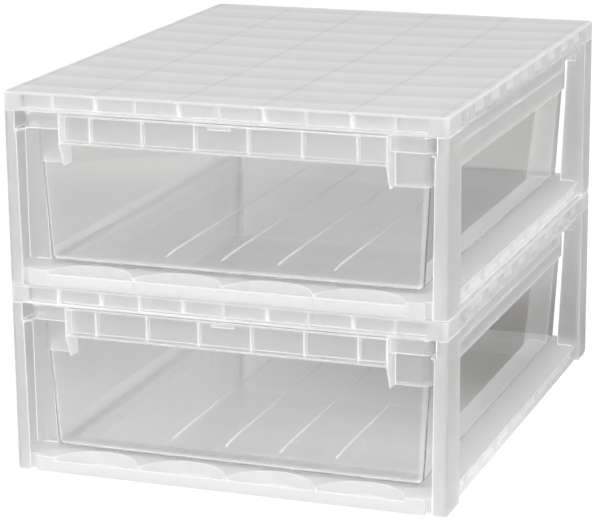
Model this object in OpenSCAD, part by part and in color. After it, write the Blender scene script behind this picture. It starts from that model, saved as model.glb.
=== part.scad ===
// Stackable drawer box: two identical units, each a snap-together casing with one drawer.
// Millimetres. Origin at the middle of the stack's footprint, +Z up, drawers open towards -Y.
// Inside the modules y is measured from the front face, and an inset is measured from a side face.

/* [Unit] */
// Width of a unit
unit_w = 390; // [330:1:450]
// Depth of a unit
unit_d = 492; // [420:1:560]
// Height of a unit
unit_h = 167.5; // [150:0.5:220]
// Radius of the upright corners seen from above
corner_r = 4; // [2:0.5:6]
// Clearance between a unit and the unit it stands on
stack_gap = 0.3; // [0.2:0.1:1]
// Clearance between casing pieces that plug together
snug = 0.25; // [0.15:0.05:0.5]

/* [Top panel] */
// Thickness of the top skin
skin_t = 2.4; // [1.6:0.1:4]
// Height of the skirt, skin included
skirt_h = 16.5; // [13:0.5:24]
// Depth of the open channel that runs round the skirt
channel_d = 6; // [4:0.5:8]
// Thickness of the skirt's web
skirt_wall = 2.2; // [1.6:0.1:3]
// Thickness of the flange below the channel
flange_t = 2; // [1.4:0.1:3]
// Width of a corner block on the front and the back
block_w = 17; // [14:1:28]
// Spacing of the ribs across the front and of the long ribs under the skin
long_pitch = 75.2; // [60:0.2:96]
// Spacing of the ribs along the sides and of the cross ribs under the skin
cross_pitch = 48; // [36:1:60]
// Distance from a front corner block to the first side rib
lead_rib = 16; // [8:1:24]
// Thickness of a rib
rib_t = 1.6; // [1:0.1:2.4]
// Depth of the ribs under the skin
rib_drop = 9; // [5:0.5:10]

/* [Side frames] */
// Wall thickness of posts
post_wall = 2.2; // [1.6:0.1:3]
// Depth of a front post, seen from the side
front_post_d = 38; // [30:1:60]
// Depth of a rear post, seen from the side
rear_post_d = 31; // [26:1:60]
// Width of the front post's flange beside the drawer's rim
front_flange_w = 9.6; // [8:0.2:12]
// How much wider the front flange is just below the rail
flange_step = 1.6; // [0.6:0.2:3]
// How much wider still a flange is at the foot of its post
foot_flare = 1.6; // [0:0.2:3]
// Width of the rear post's flange at the top
rear_flange_w = 24.5; // [20:0.5:32]
// Width of the turned-in edge beside each window
return_w = 9.5; // [5:0.5:10]
// Gap between the drawer's band and the turned-in edges of the posts, which are wider below the ledge
return_gap = 3; // [1.5:0.5:10]
// Radius at the foot of the rear post
heel_r = 10; // [4:1:12]
// Thickness of the rail's web
rail_wall = 2.4; // [1.8:0.1:3]
// Thickness of the rail's ledge
ledge_t = 2; // [1.4:0.1:3]
// Distance from the end of the rail's ledge to the rear post
rail_gap = 59; // [20:1:100]
// Height of the strip of the rail that runs on to the rear post
rail_tail_h = 9; // [6:0.5:14]
// Number of snap tabs along a side
tab_n = 3; // [2:1:5]
// Length of a snap tab
tab_l = 40; // [20:5:60]
// Thickness of a snap tab
tab_t = 2; // [1.4:0.1:3]
// Height that a snap tab reaches up inside the skirt
tab_up = 8; // [4:0.5:10]

/* [Base frame] */
// Height of the base frame
base_h = 14; // [11:0.5:20]
// Thickness of its plates
base_t = 2; // [1.4:0.1:3]
// Inset of the side rails between the posts
base_inset = 4; // [3:0.5:7]
// Depth of the channel along the side rails
base_channel = 4; // [2:0.5:6]
// Width of the ledge along each side, from the side face
base_side_w = 36; // [34:1:60]
// Depth of the ledge at the front
base_front_d = 56; // [48:1:80]
// Depth of the ledge at the back
base_rear_d = 36; // [34:1:60]
// Height of the strip across the front
front_strip_h = 10.8; // [6:0.2:10.8]
// Gap between a post's flange and the front block
toe_gap = 5.9; // [2:0.1:8]
// Spacing of the scalloped bays
scallop_pitch = 80; // [60:1:90]
// Depth of a scalloped bay
scallop_d = 27; // [16:1:32]

/* [Drawer] */
// Gap above the drawer's rim
top_gap = 1.3; // [0.6:0.1:3]
// Sideways gap between the snap tabs and the rim
run_gap = 3.9; // [1.5:0.1:6]
// Clearance between the rim's skirt and the ledge that carries it
slide_gap = 0.3; // [0.2:0.1:0.6]
// How far the ledge reaches in under the rim
ledge_lap = 1.4; // [0.8:0.1:1.6]
// Gap between the ledge and the tray
tray_gap = 4.7; // [3:0.1:8]
// Gap between the rim and the back of the casing
rear_gap = 14; // [8:1:30]
// Gap under the tray
floor_gap = 2; // [1:0.1:4]
// Wall thickness of the tray
tray_wall = 1.8; // [1.2:0.1:2.4]
// Thickness of the tray's floor
floor_t = 2; // [1.4:0.1:3]
// Radius of the tray's upright corners
tray_r = 8; // [5:0.5:14]
// Radius along the tray's bottom edge
bottom_r = 6; // [4:0.5:8]
// How much narrower the tray is at the floor than under the band, on each side
side_draft = 5; // [2:0.5:8]
// The same at the front and at the back
end_draft = 2.2; // [1:0.2:4]
// Height of the band round the top of the tray
band_h = 45.2; // [32:0.2:60]
// Step between the band and the clear wall below it
band_step = 2; // [1:0.1:3]
// Height of the rim's down-turned skirt
rim_h = 14.2; // [10:0.2:20]
// Thickness of the rim and its skirt
rim_t = 1.7; // [1.2:0.1:2.2]
// Setback of the rim behind the front face
rim_setback = 6.7; // [5:0.1:10]
// Room for fingers between the rim and the band
finger_gap = 10.9; // [8:0.1:18]
// Number of floor ribs
floor_rib_n = 4; // [2:2:6]
// Spacing of the floor ribs
floor_rib_pitch = 51; // [36:1:54]
// Height of the floor ribs
floor_rib_h = 1.5; // [1:0.1:3]
// Distance from the front face to the start of the floor ribs
floor_rib_start = 60; // [45:1:90]

/* [Pull lip] */
// Width of the pull lip
lip_w = 289.6; // [240:0.2:300]
// Height of the pull lip
lip_h = 25.3; // [20:0.1:32]
// Setback of the lip's web behind the front face
lip_web = 9; // [6:0.5:10]
// Setback of the lip's ribs behind the front face
lip_rib_setback = 3.8; // [1:0.1:5]
// Spacing of the lip's ribs
lip_pitch = 47.1; // [36:0.1:60]
// Width of the tab at the middle of the lip
centre_tab_w = 20; // [10:1:30]
// Height of that tab
centre_tab_h = 3; // [2:0.2:5]
// Depth of a fin at its lower end
fin_toe = 11.5; // [6:0.1:14]

/* [Hidden] */
$fn = 48;
frosted = [0.88, 0.89, 0.90];
clear = [0.78, 0.81, 0.83];

half_w = unit_w / 2;
// A piece that is cut through runs this far past its faces
past = 1;

// Levels of the casing
skin_z = unit_h - skin_t;
skirt_z = unit_h - skirt_h;
rim_top = skirt_z - top_gap;
rim_low = rim_top - rim_h;
ledge_z = rim_low - slide_gap;

// Insets from a side face, going inwards
tab_x = channel_d + skirt_wall + snug;
rail_x = tab_x + tab_t / 3 - rail_wall;
rim_x = tab_x + tab_t + run_gap;
ledge_tip = rim_x + ledge_lap;
band_x = ledge_tip + tray_gap;
clear_x = band_x + band_step;

// Depths from the front face, going back
band_y = rim_setback + rim_t + finger_gap;
clear_y = band_y + band_step / 2;
rim_back = unit_d - rear_gap;
band_back = rim_back - (band_x - rim_x);
clear_back = band_back - band_step;

// Depth where the rail's ledge ends
rail_end = unit_d - rear_post_d - rail_gap;

// Width of a post's turned-in edge just below the ledge
wide_return_w = band_x - return_gap;

// Levels of the drawer
tray_z = base_h + floor_gap;
floor_z = tray_z + floor_t;
band_z = rim_top - band_h;
lip_z = rim_top - lip_h;

// Widths at the foot of the casing
front_foot_w = front_flange_w + flange_step + foot_flare;
rear_foot_w = rear_flange_w + foot_flare;
front_block_x = front_foot_w + toe_gap;
bay_n = 2 * floor((half_w - front_block_x - base_h / 2) / scallop_pitch);
bay_half = (scallop_pitch - rib_t - base_t / 4) / 2;
bay_r = (bay_half * bay_half + scallop_d * scallop_d) / (2 * scallop_d);

// ---- shared shapes ----

// A box between two corners
module box(x0, x1, y0, y1, z0, z1) {
  translate([x0, y0, z0]) cube([x1 - x0, y1 - y0, z1 - z0]);
}

// A flat rectangle with round corners, between two corners
module round_rect(x0, x1, y0, y1, r) {
  translate([x0 + r, y0]) square([x1 - x0 - 2 * r, y1 - y0]);
  translate([x0, y0 + r]) square([x1 - x0, y1 - y0 - 2 * r]);
  for (x = [x0 + r, x1 - r], y = [y0 + r, y1 - r]) translate([x, y]) circle(r);
}

// The unit's outline from above, drawn in by an inset all round
module footprint(inset) {
  round_rect(inset - half_w, half_w - inset, inset, unit_d - inset, max(corner_r - inset, 0.5));
}

// A wall that follows the unit's outline between two insets
module skirt_ring(outer, inner, z0, z1) {
  translate([0, 0, z0]) linear_extrude(z1 - z0) difference() {
    footprint(outer);
    footprint(inner);
  }
}

// The same thing on the left and mirrored to the right
module both_sides() {
  children();
  mirror([1, 0, 0]) children();
}

// A unit's pieces in their place in the stack
module in_stack(level) {
  translate([0, -unit_d / 2, level * (unit_h + stack_gap)]) children();
}

// ---- top panel ----

// Places of the exposed ribs across the front, and of the long ribs under the skin
front_ribs = [for (k = [-6:6]) if (abs(k * long_pitch) < half_w - block_w - rib_t) k * long_pitch];
long_ribs = [for (k = [-6:5]) if (abs((k + 0.5) * long_pitch) < half_w - ledge_tip)
  (k + 0.5) * long_pitch];
// Places of the cross ribs under the skin, and of the ribs in the side channels
cross_ribs = [for (k = [-9:8]) if (abs((k + 0.5) * cross_pitch) < unit_d / 2 - tab_x - rib_t)
  unit_d / 2 + (k + 0.5) * cross_pitch];
side_ribs = concat([front_post_d + lead_rib],
  [for (y = cross_ribs) if (y > front_post_d + lead_rib + 2 * rib_t
    && y < unit_d - rear_post_d - 2 * rib_t) y]);

module corner_block(post_d) {
  intersection() {
    skirt_ring(0, skirt_wall, skirt_z, skin_z);
    box(-half_w, block_w - half_w, 0, post_d, skirt_z, skin_z);
  }
  box(block_w - half_w - rib_t, block_w - half_w, 0, channel_d, skirt_z, skin_z);
  box(-half_w, channel_d - half_w, post_d - rib_t, post_d, skirt_z, skin_z);
}

module top_panel() {
  color(frosted) {
    translate([0, 0, skin_z]) linear_extrude(skin_t) footprint(0);
    skirt_ring(channel_d, channel_d + skirt_wall, skirt_z, skin_z);
    skirt_ring(0, channel_d + skirt_wall, skirt_z, skirt_z + flange_t);
    both_sides() {
      corner_block(front_post_d);
      translate([0, unit_d, 0]) mirror([0, 1, 0]) corner_block(rear_post_d);
      for (y = side_ribs)
        box(-half_w, channel_d - half_w, y - rib_t / 2, y + rib_t / 2, skirt_z, skin_z);
    }
    for (x = front_ribs, y = [0, unit_d - channel_d])
      box(x - rib_t / 2, x + rib_t / 2, y, y + channel_d, skirt_z, skin_z);
    for (x = long_ribs)
      box(x - rib_t / 2, x + rib_t / 2, channel_d, unit_d - channel_d, skin_z - rib_drop, skin_z);
    for (y = cross_ribs)
      box(rim_x - half_w, half_w - rim_x, y - rib_t / 2, y + rib_t / 2, skin_z - rib_drop, skin_z);
  }
}

// ---- side frame: the left one ----

// A post's flange in the plane of the front or the back: wider below the rail, flared to its foot
module post_flange(top_w, step, y) {
  translate([-half_w, y + post_wall, 0]) rotate([90, 0, 0]) linear_extrude(post_wall)
    polygon([[0, 0], [top_w + step + foot_flare, 0], [top_w + step, ledge_z],
             [top_w, ledge_z], [top_w, skirt_z], [0, skirt_z]]);
}

// The upright outer wall of a post, with the post's own round corner
module post_wall_at(y0, y1) {
  intersection() {
    skirt_ring(0, post_wall, 0, skirt_z);
    box(-half_w, max(corner_r, post_wall) - half_w, y0, y1, 0, skirt_z);
  }
}

// The rail: a ledge on a web that ends short of the rear post, with a strip that runs on to it
module rail() {
  low = ledge_z - ledge_t;
  box(rail_x - half_w, rail_x + rail_wall - half_w, 0, rail_end, low, skirt_z);
  box(rail_x - half_w, rail_x + rail_wall - half_w, 0, unit_d, skirt_z - rail_tail_h, skirt_z);
  translate([-half_w, 0, low]) linear_extrude(ledge_t)
    polygon([[rail_x, 0], [front_flange_w, 0], [ledge_tip, ledge_tip - front_flange_w],
             [ledge_tip, rail_end], [rail_x, rail_end]]);
  for (k = [0:tab_n - 1]) {
    y = front_post_d + (k + 0.5) * (rail_end - front_post_d) / tab_n;
    box(tab_x - half_w, tab_x + tab_t - half_w, y - tab_l / 2, y + tab_l / 2,
        low, skirt_z + tab_up);
  }
}

// The wide part of a post's turned-in edge, sloped as the tray beside it is
module wide_return(y) {
  low = base_h + snug;
  high = ledge_z - ledge_t;
  translate([-half_w, y + post_wall, 0]) rotate([90, 0, 0]) linear_extrude(post_wall)
    polygon([[0, low], [wide_return_w + side_draft, low], [wide_return_w, high], [0, high]]);
}

module left_side() {
  rear_y = unit_d - rear_post_d;
  color(frosted) difference() {
    union() {
      post_wall_at(0, front_post_d);
      post_wall_at(rear_y, unit_d);
      intersection() {
        union() {
          post_flange(front_flange_w, flange_step, 0);
          post_flange(rear_flange_w, 0, unit_d - post_wall);
        }
        translate([0, 0, -past]) linear_extrude(unit_h) footprint(0);
      }
      for (y = [front_post_d - post_wall, rear_y]) {
        box(-half_w, return_w - half_w, y, y + post_wall, 0, skirt_z);
        wide_return(y);
      }
      rail();
    }
    // Round heel at the foot of the rear post
    translate([-half_w - past, unit_d - heel_r, heel_r]) rotate([0, 90, 0])
      linear_extrude(rear_foot_w + 2 * past) difference() {
        square(heel_r + past);
        circle(heel_r);
      }
  }
}

module right_side() {
  mirror([1, 0, 0]) left_side();
}

// ---- base frame ----

// Outline of the base frame from above; e draws its outer edge in, side says where the rails run
module base_outline(e, side) {
  front_in = front_post_d + snug;
  rear_in = unit_d - rear_post_d - snug;
  plug = post_wall + snug + e;
  both_sides() {
    translate([plug - half_w, 0]) {
      translate([0, toe_gap + e]) square([half_w, front_post_d - post_wall - snug - toe_gap - 2 * e]);
      translate([0, rear_in + post_wall + 2 * snug + e])
        square([half_w, rear_post_d - 2 * post_wall - 3 * snug - toe_gap / 2 - 2 * e]);
    }
    translate([return_w + snug + e - half_w, toe_gap + e])
      square([half_w, unit_d - 2 * toe_gap - 2 * e]);
    translate([side + e - half_w, front_in + e]) square([half_w, rear_in - front_in - 2 * e]);
    translate([front_block_x + e - half_w, e]) square([half_w, base_front_d]);
    translate([rear_foot_w + snug + e - half_w, unit_d / 2]) square([half_w, unit_d / 2 - e]);
  }
}

module base_opening(e) {
  translate([base_side_w + e - half_w, base_front_d + e])
    square([unit_w - 2 * base_side_w - 2 * e, unit_d - base_front_d - base_rear_d - 2 * e]);
}

bays = [for (k = [0:bay_n - 1]) (k - (bay_n - 1) / 2) * scallop_pitch];

// The scalloped bays from above, grown by a wall
module bays_outline(wall) {
  intersection() {
    for (x = bays) translate([x, scallop_d - bay_r]) circle(bay_r + wall, $fn = 96);
    translate([-bay_n * scallop_pitch / 2 - rib_t / 2, 0])
      square([bay_n * scallop_pitch + rib_t, base_front_d]);
  }
}

module base_frame() {
  rib_h = base_h - base_t;
  color(frosted) {
    // Top plate with its opening and its scalloped front edge
    translate([0, 0, rib_h]) linear_extrude(base_t) difference() {
      base_outline(0, base_inset);
      base_opening(0);
      bays_outline(0);
    }
    // Walls down from the plate, all round and round the opening
    linear_extrude(rib_h + base_t / 2) difference() {
      base_outline(0, base_inset + base_channel);
      base_outline(base_t, base_inset + base_channel);
      bays_outline(0);
    }
    linear_extrude(rib_h + base_t / 2) difference() {
      base_opening(-base_t);
      base_opening(0);
    }
    // Walls of the bays and the floor that closes them
    linear_extrude(base_h) difference() {
      bays_outline(base_t);
      bays_outline(0);
    }
    linear_extrude(base_t) bays_outline(base_t);
    // Strip across the front, with a rib between each two bays
    box(-bay_n * scallop_pitch / 2, bay_n * scallop_pitch / 2, 0, base_t, 0, front_strip_h);
    for (k = [0:bay_n]) {
      x = (k - bay_n / 2) * scallop_pitch;
      box(x - rib_t / 2, x + rib_t / 2, 0, 2 * base_t, 0, base_h);
    }
    // Foot flange and ribs of the side channels
    both_sides() {
      box(base_inset - half_w, base_inset + base_channel + base_t - half_w,
          front_post_d + snug, unit_d - rear_post_d - snug, 0, base_t);
      for (y = side_ribs)
        box(base_inset - half_w, base_inset + base_channel - half_w + base_t / 2,
            y - rib_t / 2, y + rib_t / 2, 0, base_h - base_t / 2);
    }
  }
}

// ---- drawer ----

// Solid that fills the clear part of the tray out to its wall, drawn in by a wall thickness
module clear_body(wall, low) {
  r = max(tray_r - wall, 1);
  edge = max(bottom_r - wall, 1);
  x_low = half_w - clear_x - side_draft - wall;
  hull() {
    translate([0, 0, band_z]) linear_extrude(tray_wall)
      round_rect(clear_x + wall - half_w, half_w - clear_x - wall,
                 clear_y + wall, clear_back - wall, r);
    for (x = [edge - x_low, x_low - edge],
         y = [clear_y + end_draft + wall + edge, clear_back - end_draft - wall - edge])
      translate([x, y, low + edge]) sphere(edge, $fn = 32);
  }
}

// A wall round the drawer: inset from the sides, from the front and up to a depth at the back
module drawer_ring(x, y, back, wall, r, z0, z1) {
  translate([0, 0, z0]) linear_extrude(z1 - z0) difference() {
    round_rect(x - half_w, half_w - x, y, back, r);
    round_rect(x + wall - half_w, half_w - x - wall, y + wall, back - wall, max(r - wall, 0.5));
  }
}

module tray() {
  difference() {
    clear_body(0, tray_z);
    clear_body(tray_wall, floor_z);
  }
  for (k = [0:floor_rib_n - 1])
    translate([(k - (floor_rib_n - 1) / 2) * floor_rib_pitch - rib_t / 2, floor_rib_start,
               floor_z - floor_t / 4])
      cube([rib_t, unit_d - 2 * floor_rib_start, floor_rib_h + floor_t / 4]);
}

// Band round the top of the tray, its shoulder, and the rim with its down-turned skirt
module rim() {
  lap = band_x - rim_x;
  drawer_ring(band_x, band_y, band_back, tray_wall, tray_r, band_z, rim_top);
  drawer_ring(band_x, band_y, band_back, band_step + tray_wall, tray_r, band_z, band_z + tray_wall);
  drawer_ring(rim_x, rim_setback, rim_back, lap + tray_wall, tray_r, rim_top - rim_t, rim_top);
  drawer_ring(rim_x, rim_setback, rim_back, rim_t, tray_r, rim_low, rim_top);
  // The rim's top reaches back to the band across the front
  box(band_x - half_w, half_w - band_x, rim_setback, band_y + tray_wall, rim_top - rim_t, rim_top);
}

module lip() {
  half = lip_w / 2;
  box(-half, half, 0, band_y, rim_top - rim_t, rim_top);
  box(-half, half, 0, lip_web + rim_t, lip_z, lip_z + rim_t);
  box(-half, half, lip_web, lip_web + rim_t, lip_z, rim_top);
  for (k = [-4:3]) {
    x = (k + 0.5) * lip_pitch;
    if (abs(x) < half - lip_pitch / 3)
      box(x - rib_t / 2, x + rib_t / 2, lip_rib_setback, lip_web + rim_t / 2, lip_z, rim_top);
  }
  box(-centre_tab_w / 2, centre_tab_w / 2, 0, rim_t, rim_top - rim_t - centre_tab_h, rim_top);
  // End plates, each running down into a fin beside the finger pull
  both_sides() translate([-half, 0, 0]) rotate([90, 0, 90]) linear_extrude(rim_t)
    polygon([[0, rim_top], [0, lip_z], [clear_y - fin_toe, band_z], [clear_y + tray_wall, band_z],
             [clear_y + tray_wall, rim_top]]);
}

module drawer() {
  half = lip_w / 2;
  color(clear) {
    tray();
    difference() {
      rim();
      // Between the finger pulls the lip takes the place of the rim's skirt and of the band
      box(-half, half, rim_setback - past, band_y, rim_low - past, rim_top - rim_t);
      box(-half, half, band_y - past, clear_y, band_z - past, rim_top - rim_t);
      // and the shoulder doesn't show behind the clear front
      box(-half, half, clear_y + tray_wall, clear_y + band_step + tray_wall, band_z,
          band_z + 2 * tray_wall);
    }
    box(-half, half, clear_y, clear_y + tray_wall, band_z, rim_top);
  }
  color(frosted) lip();
}

in_stack(0) base_frame();  // lower_base_frame
in_stack(0) left_side();  // lower_left_side
in_stack(0) right_side();  // lower_right_side
in_stack(0) top_panel();  // lower_top_panel
in_stack(0) drawer();  // lower_drawer
in_stack(1) base_frame();  // upper_base_frame
in_stack(1) left_side();  // upper_left_side
in_stack(1) right_side();  // upper_right_side
in_stack(1) top_panel();  // upper_top_panel
in_stack(1) drawer();  // upper_drawer
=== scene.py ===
import math
import bmesh
import bpy
import numpy as np
from mathutils import Euler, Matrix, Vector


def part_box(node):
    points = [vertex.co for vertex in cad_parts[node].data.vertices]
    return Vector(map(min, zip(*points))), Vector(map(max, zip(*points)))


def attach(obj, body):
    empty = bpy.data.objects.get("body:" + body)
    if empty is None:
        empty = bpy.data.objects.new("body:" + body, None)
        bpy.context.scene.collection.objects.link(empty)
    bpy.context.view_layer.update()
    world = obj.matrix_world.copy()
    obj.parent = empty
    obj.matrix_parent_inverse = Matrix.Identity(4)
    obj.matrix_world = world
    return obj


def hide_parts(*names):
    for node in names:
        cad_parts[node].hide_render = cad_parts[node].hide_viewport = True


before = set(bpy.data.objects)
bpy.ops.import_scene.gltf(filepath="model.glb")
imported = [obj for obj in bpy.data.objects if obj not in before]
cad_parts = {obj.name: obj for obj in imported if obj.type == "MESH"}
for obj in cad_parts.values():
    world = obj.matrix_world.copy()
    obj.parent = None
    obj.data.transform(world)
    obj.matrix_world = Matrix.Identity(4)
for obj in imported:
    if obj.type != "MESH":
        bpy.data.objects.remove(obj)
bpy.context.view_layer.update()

mm = 0.001
units = {"lower": 0.0, "upper": 167.8}  # height of each unit's foot, mm
unitHeight = 167.5
half = {"x": 195.0, "y": 246.0}  # half of the footprint, mm

# finishes: one plastic, etched where it is frosted and polished where it is clear

thinFrost = {
    "light": (0.995, 0.995, 0.998, 1), "dark": (0.965, 0.966, 0.972, 1),  # ends of its unevenness
    "transmission": 0.72, "roughness": 0.32, "ior": 1.3,
    "coat": 0.0, "coatRoughness": 0.02,
    "grain": 900.0, "grainDepth": 0.25, "grainHeight": 0.2,  # height in mm
    "clouds": 14.0,
    "edgeGlow": 0.36,  # painted light: emission that a rounded edge gives off
    "bodyGlow": 0.04,  # the share of that painted emission that every face gives off
}
# where ribs and plates stand close together
deepFrost = dict(thinFrost, light=(0.972, 0.972, 0.976, 1), dark=(0.938, 0.939, 0.945, 1),
                 transmission=0.45, roughness=0.42, bodyGlow=0.08)
# the frame under a drawer; its stronger painted glow lightens the shade under the tray
softFrost = dict(thinFrost, transmission=0.4, roughness=0.42, bodyGlow=0.2, edgeGlow=0.2)
# thick corners
solidFrost = dict(thinFrost, transmission=0.12, roughness=0.5, edgeGlow=0.05)
clearPart = dict(thinFrost, light=(0.995, 0.995, 0.997, 1), dark=(0.975, 0.976, 0.979, 1),
                 transmission=0.97, roughness=0.06, ior=1.2, coat=1.0,
                 grain=120.0, grainDepth=0.01, clouds=9.0, bodyGlow=0.03, edgeGlow=0.3)


# a Math node fed by sockets or plain numbers; gives its output socket
def calc(tree, operation, *values):
    node = tree.nodes.new("ShaderNodeMath")
    node.operation = operation
    for socket, value in zip(node.inputs, values):
        if isinstance(value, (int, float)):
            socket.default_value = value
        else:
            tree.links.new(value, socket)
    return node.outputs[0]


# a colour Mix node; its factor and colours may be sockets or plain values
def blend(tree, kind, factor, first, second):
    node = tree.nodes.new("ShaderNodeMix")
    node.data_type = "RGBA"
    node.blend_type = kind
    for index, value in ((0, factor), (6, first), (7, second)):
        socket = node.inputs[index]
        if isinstance(value, (int, float, tuple)):
            socket.default_value = value
        else:
            tree.links.new(value, socket)
    return node.outputs[2]


def newGroup(name, inputs, outputs):
    tree = bpy.data.node_groups.new(name, "ShaderNodeTree")
    for way, labels in (("INPUT", inputs), ("OUTPUT", outputs)):
        for label in labels:
            tree.interface.new_socket(label, in_out=way, socket_type="NodeSocketFloat")
    return tree, tree.nodes.new("NodeGroupInput"), tree.nodes.new("NodeGroupOutput")


# moulded plastic everywhere: a fine grain, a slow unevenness, and the edge value: painted glow
# where it is above nought, painted shade where it is below
marksAndGlow, marksIn, marksOut = newGroup("mould marks", ("Grain", "Clouds"), ("Height", "Tone", "Edge"))
place = marksAndGlow.nodes.new("ShaderNodeTexCoord")
for socket, target, detail in (("Grain", "Height", 2), ("Clouds", "Tone", 3)):
    noise = marksAndGlow.nodes.new("ShaderNodeTexNoise")
    noise.inputs["Detail"].default_value = detail
    marksAndGlow.links.new(place.outputs["Object"], noise.inputs["Vector"])
    marksAndGlow.links.new(marksIn.outputs[socket], noise.inputs["Scale"])
    marksAndGlow.links.new(noise.outputs["Fac"], marksOut.inputs[target])
edge = marksAndGlow.nodes.new("ShaderNodeAttribute")
edge.attribute_name = "edge"
marksAndGlow.links.new(edge.outputs["Fac"], marksOut.inputs["Edge"])

# painted shade of the ribs under a skin: a bay is darker towards its front rib, and the long ribs
# show as thin lines
ribShade, ribIn, ribOut = newGroup(
    "ribs under the skin", ("Cross Pitch", "Long Pitch", "Line Width"), ("Bay", "Line"))
place = ribShade.nodes.new("ShaderNodeTexCoord")
axes = ribShade.nodes.new("ShaderNodeSeparateXYZ")
ribShade.links.new(place.outputs["Object"], axes.inputs[0])
inBay = calc(ribShade, "DIVIDE", axes.outputs["Y"], ribIn.outputs["Cross Pitch"])
inBay = calc(ribShade, "FRACT", calc(ribShade, "SUBTRACT", inBay, 0.5))
ribShade.links.new(inBay, ribOut.inputs["Bay"])
across = calc(ribShade, "DIVIDE", axes.outputs["X"], ribIn.outputs["Long Pitch"])
across = calc(ribShade, "FRACT", across)
away = calc(ribShade, "ABSOLUTE", calc(ribShade, "SUBTRACT", across, 0.5))
away = calc(ribShade, "MULTIPLY", away, ribIn.outputs["Long Pitch"])
away = calc(ribShade, "MINIMUM", calc(ribShade, "DIVIDE", away, ribIn.outputs["Line Width"]), 1.0)
ribShade.links.new(calc(ribShade, "SUBTRACT", 1.0, away), ribOut.inputs["Line"])


# Principled plastic with the mould's marks and its edges' painted glow; shade, a function, may
# change its colour and its glow, painting shade and light
def plastic(name, grade, shade=None):
    material = bpy.data.materials.new(name)
    material.use_nodes = True
    tree = material.node_tree
    shader = tree.nodes["Principled BSDF"]
    shader.inputs["Transmission Weight"].default_value = grade["transmission"]
    shader.inputs["Roughness"].default_value = grade["roughness"]
    shader.inputs["IOR"].default_value = grade["ior"]
    shader.inputs["Coat Weight"].default_value = grade["coat"]
    shader.inputs["Coat Roughness"].default_value = grade["coatRoughness"]
    shader.inputs["Emission Strength"].default_value = grade["edgeGlow"]
    mould = tree.nodes.new("ShaderNodeGroup")
    mould.node_tree = marksAndGlow
    mould.inputs["Grain"].default_value = grade["grain"]
    mould.inputs["Clouds"].default_value = grade["clouds"]
    colour = blend(tree, "MIX", mould.outputs["Tone"], grade["dark"], grade["light"])
    glow = mould.outputs["Edge"]
    if shade:
        colour, glow = shade(tree, colour, glow)
    tree.links.new(colour, shader.inputs["Base Color"])
    tree.links.new(blend(tree, "MIX", glow, (grade["bodyGlow"],) * 3 + (1,), (1, 1, 1, 1)),
                   shader.inputs["Emission Color"])
    bump = tree.nodes.new("ShaderNodeBump")
    bump.inputs["Strength"].default_value = grade["grainDepth"]
    bump.inputs["Distance"].default_value = grade["grainHeight"] * mm
    tree.links.new(mould.outputs["Height"], bump.inputs["Height"])
    tree.links.new(bump.outputs["Normal"], shader.inputs["Normal"])
    return material


# top panel: its sagging skin, the ribs under it and its skirt; lengths in mm
panel = {
    "rim": 2.2, "rimSteps": 5, "rimGlow": 0.08,  # round the top edge, with a painted glow
    "rimDepth": 2.5,  # the ordinary edges are below this
    "sag": 3.0,  # of the whole panel at its middle
    "baySag": 0.25, "cellSag": 0.1,  # between two cross ribs, and between two long ribs
    "border": 9.0,  # a flat strip round the skin
    "borderEase": 12.0,  # how soon the bays' sag begins inside it
    "skinDepth": 4.0,  # the sagging skin is above this
    "crossPitch": 48.0, "longPitch": 75.2,
    "cell": 8.0, "cellMargin": 4.0,  # the grid cut into the skin, and its distance from the outline
    # painted shade on the skin from the ribs under it
    "lineWidth": 2.6, "lineShade": 0.12, "bayShade": 0.12,
    "facing": 0.8,  # a face that turns at least so far up, or to the front, shows the ribs
    "channel": 6.5,  # depth of the channel round the skirt
    "ribGlow": 0.32, "sideRibGlow": 0.03,  # painted glow of the skirt's ribs
    "ribReach": 170.0, "webGlow": 0.8,  # the long ribs' ends, seen through the skirt as painted glowing lines
    "block": 178.0, "blockLength": 12.0,  # where the thick corners start, and how long they are
    "sideDepth": 9.0, "sideGlow": 0.15,  # edges in the side channels, and their painted glow
}


# painted shade and light of the ribs: darker bays and thin lines on the faces that look up, and
# paler glowing lines on the front and the back
def ribbed(tree, colour, glow):
    ribs = tree.nodes.new("ShaderNodeGroup")
    ribs.node_tree = ribShade
    ribs.inputs["Cross Pitch"].default_value = panel["crossPitch"] * mm
    ribs.inputs["Long Pitch"].default_value = panel["longPitch"] * mm
    ribs.inputs["Line Width"].default_value = panel["lineWidth"] * mm
    front = calc(tree, "SUBTRACT", 1.0, ribs.outputs["Bay"])
    shade = calc(tree, "ADD", calc(tree, "MULTIPLY", front, panel["bayShade"]),
                 calc(tree, "MULTIPLY", ribs.outputs["Line"], panel["lineShade"]))
    place = tree.nodes.new("ShaderNodeTexCoord")
    face = tree.nodes.new("ShaderNodeSeparateXYZ")
    tree.links.new(place.outputs["Normal"], face.inputs[0])
    onTop = calc(tree, "GREATER_THAN", face.outputs["Z"], panel["facing"])
    ahead = calc(tree, "ABSOLUTE", face.outputs["Y"])
    onWeb = calc(tree, "GREATER_THAN", ahead, panel["facing"])
    axes = tree.nodes.new("ShaderNodeSeparateXYZ")
    tree.links.new(place.outputs["Object"], axes.inputs[0])
    aside = calc(tree, "ABSOLUTE", axes.outputs["X"])
    onWeb = calc(tree, "MULTIPLY", onWeb, calc(tree, "LESS_THAN", aside, panel["ribReach"] * mm))
    ends = calc(tree, "MULTIPLY", ribs.outputs["Line"], onWeb)
    ends = calc(tree, "MULTIPLY", ends, panel["webGlow"])
    return (blend(tree, "MULTIPLY", calc(tree, "MULTIPLY", shade, onTop), colour, (0, 0, 0, 1)),
            calc(tree, "MAXIMUM", glow, ends))


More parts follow.
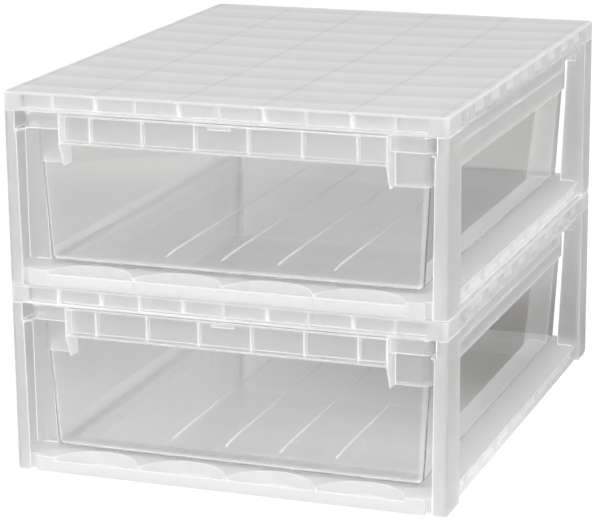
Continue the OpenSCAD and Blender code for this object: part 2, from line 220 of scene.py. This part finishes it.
# painted shade: where the edge value is below nought, the plastic gets darker by that share
def bent(tree, colour, glow):
    share = calc(tree, "MAXIMUM", calc(tree, "MULTIPLY", glow, -1.0), 0.0)
    return blend(tree, "MIX", share, colour, (0, 0, 0, 1)), calc(tree, "MAXIMUM", glow, 0.0)


frosted = plastic("frosted plastic", thinFrost)
milky = plastic("soft frosted plastic", softFrost)
clear = plastic("clear plastic", clearPart, bent)
solid = plastic("solid frosted plastic", solidFrost)
skin = plastic("ribbed frosted plastic", deepFrost, ribbed)
print("finishes ready")

# what a mould does to every piece, and the painted glow on thin faces
mould = {
    "edge": 0.45, "steps": 2,  # radius of an ordinary edge, mm, and its segments
    "sharpAngle": 35, "flatAngle": 0.4,  # degrees; sharper edges are rounded, flatter ones vanish
    "bentArea": 280,  # a larger face is one of the flats, mm2
    "thin": 1.25,  # a narrower face is the edge of a wall, mm
    # painted highlight: the glow of thin faces
    "thinGlow": 0.55,
    "facing": 0.9,  # a face that turns at least so far along an axis counts as across it
}


# the mesh less the space of a box, given by two corners in mm
def cutAway(bm, low, high):
    parts = [bpy.data.meshes.new(name) for name in ("whole", "knife")]
    bm.to_mesh(parts[0])
    bm.clear()
    for v in bmesh.ops.create_cube(bm, size=1)["verts"]:
        v.co = np.where(np.array(v.co) < 0, low, high) * mm
    bm.to_mesh(parts[1])
    bm.clear()
    whole, knife = (bpy.data.objects.new(part.name, part) for part in parts)
    for obj in (whole, knife):
        bpy.context.scene.collection.objects.link(obj)
    cut = whole.modifiers.new("cut", "BOOLEAN")
    cut.operation, cut.solver, cut.object = "DIFFERENCE", "EXACT", knife
    bm.from_mesh(whole.evaluated_get(bpy.context.evaluated_depsgraph_get()).to_mesh())
    for obj in (whole, knife):
        bpy.data.objects.remove(obj)
    bmesh.ops.remove_doubles(bm, verts=bm.verts, dist=2e-6)


# a CAD node's own mesh, welded, with each flat area as one face again
def weldedCopy(node, away=()):
    bm = bmesh.new()
    bm.from_mesh(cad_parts[node].data)
    bmesh.ops.remove_doubles(bm, verts=bm.verts, dist=1e-6)
    for low, high in away:
        cutAway(bm, low, high)
    bmesh.ops.dissolve_limit(bm, angle_limit=math.radians(mould["flatAngle"]),
                             verts=bm.verts, edges=bm.edges)
    return bm


# rounds the sharp edges, or those of them that pick accepts; bent faces get a mark, and rounded
# ones get a painted glow
def roundEdges(bm, pick=None, radius=None, steps=None, glow=1.0):
    mark = bm.faces.layers.int.get("bent") or bm.faces.layers.int.new("bent")
    lit = bm.faces.layers.float.get("edge") or bm.faces.layers.float.new("edge")
    low, high = math.radians(mould["flatAngle"]), math.radians(mould["sharpAngle"])
    sharp = []
    for edge in bm.edges:
        if len(edge.link_faces) != 2:
            continue
        angle = edge.calc_face_angle(0)
        if angle > high and (pick is None or pick(edge)):
            sharp.append(edge)
        elif low < angle <= high:
            for face in edge.link_faces:
                face[mark] = 1
    made = bmesh.ops.bevel(bm, geom=sharp, offset=(radius or mould["edge"]) * mm,
                           segments=steps or mould["steps"], profile=0.5, affect="EDGES",
                           clamp_overlap=False)
    for face in made["faces"]:
        face[mark] = 1
        face[lit] = glow


# painted glow on ribs too: the faces whose place, in mm from the middle, and normal pick accepts
def lightFaces(bm, pick, glow):
    lit = bm.faces.layers.float.get("edge")
    for face in bm.faces:
        if pick(np.abs(face.calc_center_median()) / mm, np.abs(face.normal)):
            face[lit] = glow


# puts a piece on what it rides on, gives it its materials and hides the node that it stands for
def placePiece(mesh, body, node, slot, *materials):
    for material in materials:
        mesh.materials.append(material)
    obj = bpy.data.objects.new(mesh.name, mesh)
    bpy.context.scene.collection.objects.link(obj)
    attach(obj, body)
    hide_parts(node)


# flats stay flat and bent faces are shaded smooth; a face is as wide as twice its area over its
# outline, and thin ones get a painted glow; the piece keeps inside its node's box
def finishPiece(bm, name, body, node, slot, *materials):
    mark = bm.faces.layers.int.get("bent")
    lit = bm.faces.layers.float.get("edge")
    for face in bm.faces:
        area = face.calc_area()
        face.smooth = bool(face[mark]) and (area < mould["bentArea"] * mm * mm or face[mark] == 2)
        width = 2 * area / (sum(e.calc_length() for e in face.edges) + 1e-9)
        if not face[lit] and not face[mark] and width < mould["thin"] * mm:
            face[lit] = mould["thinGlow"]
    bmesh.ops.triangulate(bm, faces=[f for f in bm.faces if len(f.verts) > 4])
    low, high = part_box(node)
    for v in bm.verts:
        v.co = np.clip(v.co, low, high)
    mesh = bpy.data.meshes.new(name)
    bm.to_mesh(mesh)
    bm.free()
    placePiece(mesh, body, node, slot, *materials)


# two parabolas multiplied for the whole panel's sag, and on the skin one more across each bay
def sagOf(x, y, onTop):
    inX = np.clip(1 - (x / (half["x"] - panel["border"])) ** 2, 0, 1)
    inY = np.clip(1 - (y / (half["y"] - panel["border"])) ** 2, 0, 1)
    whole = panel["sag"] * inX * inY
    s = (y / panel["crossPitch"] - 0.5) % 1.0
    t = (x / panel["longPitch"] - 0.5) % 1.0
    ease = np.clip(inX * panel["borderEase"], 0, 1) * np.clip(inY * panel["borderEase"], 0, 1)
    bays = panel["baySag"] * 4 * s * (1 - s) + panel["cellSag"] * 4 * t * (1 - t)
    return -(whole + np.where(onTop, bays * ease, 0))


# rounds the edges below a height; those in the channels along the sides get less painted glow
def roundRest(bm, below=math.inf):
    inX, inY = half["x"] - panel["sideDepth"], half["y"] - panel["blockLength"]

    def low(edge):
        return all(v.co.z < below for v in edge.verts)

    def aside(edge):
        return all(abs(v.co.x) > inX * mm and abs(v.co.y) < inY * mm for v in edge.verts)

    roundEdges(bm, lambda e: low(e) and aside(e), glow=panel["sideGlow"])
    roundEdges(bm, lambda e: low(e) and not aside(e))


# cuts the flat skin at a height across one axis, so that it can sag
def cutSkin(bm, top, axis, at):
    skin = [f for f in bm.faces
            if f.normal.z > 0.999 and abs(f.calc_center_median().z - top) < 1e-5]
    parts = list({v for f in skin for v in f.verts}) + list({e for f in skin for e in f.edges})
    spot, normal = [0, 0, 0], [0, 0, 0]
    spot[axis], normal[axis] = at * mm, 1
    bmesh.ops.bisect_plane(bm, geom=parts + skin, dist=1e-6, plane_co=spot, plane_no=normal)


def topPanel(level, foot):
    bm = weldedCopy(f"{level}_top_panel")
    top = (foot + unitHeight) * mm
    roundEdges(bm, lambda e: all(abs(v.co.z - top) < 1e-5 for v in e.verts),
               panel["rim"], panel["rimSteps"], panel["rimGlow"])
    roundRest(bm, top - panel["rimDepth"] * mm)
    inX, inY = half["x"] - panel["channel"], half["y"] - panel["channel"]
    across = mould["facing"]
    lightFaces(bm, lambda at, way: at[1] > inY and way[0] > across and at[0] < panel["ribReach"],
               panel["ribGlow"])
    lightFaces(bm, lambda at, way: at[0] > inX and way[1] > across and at[1] < inY,
               panel["sideRibGlow"])
    for axis, reach, pitch in ((1, half["y"], panel["crossPitch"]),
                               (0, half["x"], panel["longPitch"])):
        steps = round(pitch / panel["cell"])
        count = math.ceil(reach / pitch) * steps
        for k in range(-count, count):
            at = (k + 0.5 * steps) * pitch / steps
            if abs(at) < reach - panel["cellMargin"]:
                cutSkin(bm, top, axis, at)
    bm.verts.ensure_lookup_table()
    points = np.array([v.co for v in bm.verts]) / mm
    drop = sagOf(points[:, 0], points[:, 1], points[:, 2] > foot + unitHeight - 0.1)
    for v, d in zip(bm.verts, drop):
        v.co.z += d * mm
    mark = bm.faces.layers.int.get("bent")
    for face in bm.faces:
        middle = face.calc_center_median()
        if face.normal.z > 0.98 and middle.z > top - panel["skinDepth"] * mm:
            face[mark] = 2  # part of the skin, smooth at any size
        at = middle / mm
        atEnd = abs(at.y) > half["y"] - panel["blockLength"]
        if atEnd and abs(at.x) > panel["block"] and face.normal.z < 0.5:
            face.material_index = 1  # part of a thick corner
    finishPiece(bm, f"{level}_ribbed_top", f"{level}_casing", f"{level}_top_panel",
                "frosted_plastic", skin, solid)


# drawer: a polished tray under a frosted rim with its band and lip; lengths in mm
drawer = {
    "band": 104.5,  # height of the band's lower edge
    "tuck": 0.4,  # how far the tray runs up into the band
    "lip": 146.0, "ribGlow": 0.3,  # half of the pull lip's width, and the painted glow of its ribs
    "window": 143.2, "windowTop": 148.2,  # half of the clear width behind the lip, and its height
    "wall": 1.8,
    "foot": 16.0, "floor": 18.0,  # heights of the tray's underside and of its floor
    "sideTop": 172.55, "sideLow": 167.55,  # the walls stand closer together at the bottom
    "frontTop": -225.7, "frontLow": -223.5,
    "backTop": 223.9, "backLow": 221.7,
    "corner": 8.0, "cornerLow": 6.0, "cornerLeast": 0.3, "bottom": 6.0,  # radii
    "bendSteps": 7,  # round the bottom edge
    "frontGlow": 0.35, "cornerGlow": 0.3,  # painted glow of the front's bottom edge and of its corners
    "bottomGlow": -0.15, "backGlow": -0.3,  # painted shade: the other bottom edges and the back corners are darker
    "sideReach": 22.0, "sideShare": 0.25,  # the side walls' part of the front corners' glow
}
# ribs along the floor, each with its front end hooked to one side; fade is the share of the length
# over which the painted glow goes and the height falls
floorRibs = {
    "at": (-76.5, -25.5, 25.5, 76.5), "start": -186.0, "end": 186.0,
    "height": 1.2, "width": 1.5, "sunk": 0.2,
    "hook": 1.8, "hookLength": 40.0,
    "glow": 0.65, "fade": 0.7, "taper": 0.93,
    "endSlope": 30.0, "endHeight": 0.25,  # how soon an end rises, and its height at the very end
}


# a rounded rectangle: four quarter circles joined by straight runs; also tells which points are on
# a corner, and how near each is to its middle: the sine of twice its angle, to the fourth
def loopAt(side, front, back, radius, z, windowZ=None):
    turn = np.linspace(0, np.pi / 2, 9)
    w = drawer["window"]
    xs = np.r_[-(w + 0.1), np.linspace(-w, w, 15), w + 0.1]
    ys = np.linspace(front + radius, back - radius, 24)[1:-1]
    s, c = radius * np.sin(turn), radius * np.cos(turn)
    runs = [
        np.c_[xs, np.full(len(xs), front)],
        np.c_[side - radius + s, front + radius - c],
        np.c_[np.full(len(ys), side), ys],
        np.c_[side - radius + c, back - radius + s],
        np.c_[xs[::-1], np.full(len(xs), back)],
        np.c_[-side + radius - s, back - radius + c],
        np.c_[np.full(len(ys), -side), ys[::-1]],
        np.c_[-side + radius - c, front + radius - s],
    ]
    flat = np.concatenate(runs)
    corner = np.concatenate([np.full(len(r), i % 2 == 1) for i, r in enumerate(runs)])
    # middle weighs the painted glow of the corners, and of the side walls beside the front ones
    middle = np.zeros(len(flat))
    middle[corner] = np.tile(np.sin(2 * turn) ** 4, 4)
    beside = np.abs(flat[:, 0]) > side - 1e-6
    fade = np.clip(1 - (flat[beside, 1] - front - radius) / drawer["sideReach"], 0, 1)
    middle[beside] = np.maximum(middle[beside], drawer["sideShare"] * fade)
    heights = np.full(len(flat), float(z))
    if windowZ is not None:
        heights[(np.abs(flat[:, 0]) < w + 0.01) & (flat[:, 1] < 0) & ~corner] = windowZ
    return np.c_[flat, heights], corner, middle


# rings of one face of the tray's wall from the top down: a straight draft, then a quarter round,
# whose painted glow is the root of the sine of twice its angle
def trayRings(foot, inset, low):
    d = drawer
    bottom = d["bottom"] - inset
    top, start = foot + d["band"], foot + low + bottom
    steps = [(0, 0, top + d["tuck"], 0.0, foot + d["windowTop"])]
    steps += [(t, 0, top + (start - top) * t, 0.0, None) for t in np.linspace(0, 1, 7)]
    steps += [(1, bottom * (1 - math.cos(a)), start - bottom * math.sin(a),
               math.sqrt(abs(math.sin(2 * a))), None)
              for a in np.linspace(0, np.pi / 2, d["bendSteps"] + 1)[1:]]
    rings = []
    for t, draw, z, glow, windowZ in steps:
        side = d["sideTop"] + (d["sideLow"] - d["sideTop"]) * t - inset - draw
        front = d["frontTop"] + (d["frontLow"] - d["frontTop"]) * t + inset + draw
        back = d["backTop"] + (d["backLow"] - d["backTop"]) * t - inset - draw
        radius = d["corner"] + (d["cornerLow"] - d["corner"]) * t - inset - draw
        radius = max(radius, d["cornerLeast"])
        points, corner, middle = loopAt(side, front, back, radius, z, windowZ)
        ahead, behind = points[:, 1] < d["frontLow"] + d["bottom"], points[:, 1] > 0
        glow = glow * np.where(ahead, d["frontGlow"], d["bottomGlow"])
        glow = glow + middle * np.where(behind, d["backGlow"], d["cornerGlow"])
        rings.append((points, glow, corner))
    return rings


# quads between the rows of a grid of points whose columns run all the way round
def roundGrid(rows, columns, base=0):
    i, j = np.meshgrid(np.arange(rows - 1), np.arange(columns), indexing="ij")
    k = (j + 1) % columns
    return base + np.stack([i * columns + j, i * columns + k,
                            (i + 1) * columns + k, (i + 1) * columns + j], -1).reshape(-1, 4)


# outer rings from the foot up, then inner rings down to the floor, capped flat at both ends;
# each floor rib is a low half round carried back along the floor, its front end hooked to one side
def clearTray(level, foot):
    d = drawer
    rings = trayRings(foot, 0, d["foot"])[::-1] + trayRings(foot, d["wall"], d["floor"])
    count, around, corner = len(rings), len(rings[0][0]), rings[0][2]
    points = [np.concatenate([r[0] for r in rings])]
    glow = [np.concatenate([r[1] for r in rings])]
    faces = roundGrid(count, around).tolist()
    faces += [list(range(around))[::-1], list(range((count - 1) * around, count * around))]
    bend = np.zeros((count - 1, around), bool)
    bend[:, corner & np.roll(corner, -1)] = True
    bend[:d["bendSteps"]] = bend[-d["bendSteps"]:] = True
    smooth = bend.ravel().tolist() + [False, False]
    r = floorRibs
    t, arc = np.linspace(0, 1, 40), np.linspace(0, np.pi, 9)
    y = r["start"] + (r["end"] - r["start"]) * t
    ends = np.clip(np.minimum(t, 1 - t) * r["endSlope"] + r["endHeight"], 0, 1)[:, None]
    lower = 1 - r["taper"] * np.clip(t / r["fade"], 0, 1)[:, None] ** 2
    hook = r["hook"] * np.clip(1 - (y - r["start"]) / r["hookLength"], 0, 1)[:, None] ** 2
    for x in r["at"]:
        px = x + hook + r["width"] / 2 * np.cos(arc)
        py = np.repeat(y[:, None], len(arc), 1)
        pz = foot + d["floor"] - r["sunk"] + (r["height"] + r["sunk"]) * np.sin(arc) * ends * lower
        base = sum(len(p) for p in points)
        points.append(np.stack([px, py, pz], -1).reshape(-1, 3))
        glow.append(np.repeat(r["glow"] * np.clip(1 - t / r["fade"], 0, 1), len(arc)))
        tube = roundGrid(len(t), len(arc), base)[:, ::-1].tolist()
        last = base + (len(t) - 1) * len(arc)
        tube += [list(range(base, base + len(arc))), list(range(last, last + len(arc)))[::-1]]
        faces += tube
        smooth += [True] * (len(tube) - 2) + [False, False]
    mesh = bpy.data.meshes.new(f"{level}_clear_tray")
    mesh.from_pydata((np.concatenate(points) * mm).tolist(), [], faces)
    mesh.polygons.foreach_set("use_smooth", smooth)
    # painted glow, and below nought painted shade, on the tray's edges and floor ribs
    mesh.attributes.new("edge", "FLOAT", "POINT").data.foreach_set("value", np.concatenate(glow))
    placePiece(mesh, f"{level}_drawer_body", f"{level}_drawer", "clear_plastic", clear)
    mesh.update()


# the drawer less what the clear tray stands for: all below the band, and the front behind the lip
def drawerRim(level, foot):
    d = drawer
    reach = d["window"] - 0.1
    away = [((-200, -250, foot - 1), (200, 250, foot + d["band"] + 0.01)),
            ((-reach, d["frontTop"] - 0.02, foot + 90),
             (reach, d["frontTop"] + d["wall"] + 0.02, foot + d["windowTop"] - 0.2))]
    bm = weldedCopy(f"{level}_drawer", away)
    roundEdges(bm)
    across = mould["facing"]
    lightFaces(bm, lambda at, way: way[0] > across and at[0] < d["lip"] and at[1] > -d["frontTop"],
               d["ribGlow"])
    finishPiece(bm, f"{level}_drawer_rim", f"{level}_drawer_body", f"{level}_drawer",
                "frosted_plastic", frosted)


casing = {"base_frame": (roundRest, milky),
          "left_side": (roundEdges, frosted), "right_side": (roundEdges, frosted)}
for level, foot in units.items():
    topPanel(level, foot)
    for part, (roundPart, finish) in casing.items():
        bm = weldedCopy(f"{level}_{part}")
        roundPart(bm)
        finishPiece(bm, f"{level}_{part}_moulding", f"{level}_casing", f"{level}_{part}",
                    "frosted_plastic", finish)
    clearTray(level, foot)
    drawerRim(level, foot)
    print(level, "unit ready")

# studio: pale floor and soft light, most of it from the front left; lengths in metres
studio = {
    "floorHalf": 12.0,  # half of its side
    "floorSeen": (0.97, 0.97, 0.97, 1), "floorGrey": 0.1,
    # the floor's glow as the plastic sees it, painted light and shade, and how far behind the
    # middle, or to its right, each tone takes over
    "floorNear": (0.56, 0.56, 0.56, 1),
    "floorFar": (0.43, 0.43, 0.43, 1), "farReach": (-0.15, 0.1),
    "floorBeyond": (0.6, 0.594, 0.575, 1), "beyondReach": (0.7, 1.0),
    # painted shade on the floor to the right
    "floorRight": (0.17, 0.166, 0.157, 1), "rightReach": (0.2, 0.4),
    # painted shadow: a dark patch on the floor under the back right of the units
    "shade": (0.13, 0.126, 0.117, 1), "shadeAt": (0.14, 0.25, 0), "shadeReach": (0.1, 0.34),
    "sky": (0.58, 0.58, 0.588, 1), "skyRight": (0.86, 0.836, 0.797, 1), "skyReach": (0.1, 0.8),
}
# each soft box's place, what it points at, its size and its power in watts
softBoxes = {
    "key": ((-0.6, -2.6, 0.7), (0, 0, 0.15), (1.8, 1.2), 10.0),
    "fill": ((1.2, -0.1, 0.5), (0.19, 0, 0.25), (0.7, 0.5), 3.9),
    "top": ((-0.4, -1.2, 2.1), (0, 0, 0.1), (2.0, 2.0), 16.4),
}
# the camera's lens in mm, its place and its turn in degrees
view = {"lens": 145.83, "spot": (0.7253, -2.0474, 0.7192), "turn": (75.078, 0.56, 19.858)}


# a smooth step of a value between two limits
def smoothStep(tree, value, low, high):
    node = tree.nodes.new("ShaderNodeMapRange")
    node.interpolation_type = "SMOOTHSTEP"
    node.inputs["From Min"].default_value = low
    node.inputs["From Max"].default_value = high
    tree.links.new(value, node.inputs["Value"])
    return node.outputs["Result"]


floorMesh = bpy.data.meshes.new("floor")
far = studio["floorHalf"]
floorMesh.from_pydata([(-far, -far, 0), (far, -far, 0), (far, far, 0), (-far, far, 0)],
                      [], [(0, 1, 2, 3)])
floor = bpy.data.objects.new("floor", floorMesh)
bpy.context.scene.collection.objects.link(floor)
pale = bpy.data.materials.new("pale floor")
pale.use_nodes = True
tree = pale.node_tree
paleShader = tree.nodes["Principled BSDF"]
paleShader.inputs["Base Color"].default_value = (studio["floorGrey"],) * 3 + (1,)
paleShader.inputs["Roughness"].default_value = 0.9
paleShader.inputs["Specular IOR Level"].default_value = 0.0
paleShader.inputs["Emission Strength"].default_value = 1.0
spot = tree.nodes.new("ShaderNodeTexCoord")
axes = tree.nodes.new("ShaderNodeSeparateXYZ")
tree.links.new(spot.outputs["Object"], axes.inputs[0])
# painted light and shade: all but camera rays see the floor glow in these tones
glow = studio["floorNear"]
for axis, tone in (("Y", "far"), ("Y", "beyond"), ("X", "right")):
    share = smoothStep(tree, axes.outputs[axis], *studio[f"{tone}Reach"])
    glow = blend(tree, "MIX", share, glow, studio[f"floor{tone.title()}"])
gap = tree.nodes.new("ShaderNodeVectorMath")
gap.operation = "DISTANCE"
gap.inputs[1].default_value = studio["shadeAt"]
tree.links.new(spot.outputs["Object"], gap.inputs[0])
share = smoothStep(tree, gap.outputs["Value"], *studio["shadeReach"])
glow = blend(tree, "MIX", share, studio["shade"], glow)
ray = tree.nodes.new("ShaderNodeLightPath")
tree.links.new(blend(tree, "MIX", ray.outputs["Is Camera Ray"], glow, studio["floorSeen"]),
               paleShader.inputs["Emission Color"])
floorMesh.materials.append(pale)

world = bpy.data.worlds.new("studio")
bpy.context.scene.world = world
world.use_nodes = True
tree = world.node_tree
spot = tree.nodes.new("ShaderNodeTexCoord")
axes = tree.nodes.new("ShaderNodeSeparateXYZ")
tree.links.new(spot.outputs["Generated"], axes.inputs[0])
share = smoothStep(tree, axes.outputs["X"], *studio["skyReach"])
ray = tree.nodes.new("ShaderNodeLightPath")
sky = blend(tree, "MIX", share, studio["sky"], studio["skyRight"])
tree.links.new(blend(tree, "MIX", ray.outputs["Is Camera Ray"], sky, (1, 1, 1, 1)),
               tree.nodes["Background"].inputs["Color"])


# a rectangular light turned to face the point it aims at
def softBox(name, spot, aim, size, power):
    light = bpy.data.lights.new(name, "AREA")
    light.shape = "RECTANGLE"
    light.size, light.size_y = size
    light.energy = power
    obj = bpy.data.objects.new(name, light)
    bpy.context.scene.collection.objects.link(obj)
    obj.location = spot
    way = np.array(aim) - np.array(spot)
    obj.rotation_euler = Euler((math.atan2(math.hypot(way[0], way[1]), -way[2]), 0,
                                math.atan2(way[1], way[0]) - math.pi / 2))


for name, setting in softBoxes.items():
    softBox(name, *setting)

cameraData = bpy.data.cameras.new("camera")
cameraData.lens = view["lens"]
cameraData.sensor_width = 36
cameraData.sensor_fit = "HORIZONTAL"
camera = bpy.data.objects.new("camera", cameraData)
bpy.context.scene.collection.objects.link(camera)
camera.location = view["spot"]
camera.rotation_euler = Euler([math.radians(a) for a in view["turn"]], "XYZ")
bpy.context.scene.camera = camera
bpy.context.scene.view_settings.view_transform = "Standard"
cycles = bpy.context.scene.cycles
cycles.max_bounces = 24
cycles.diffuse_bounces = 10
cycles.glossy_bounces = 10
cycles.transmission_bounces = 24
cycles.transparent_max_bounces = 24
print("studio ready")
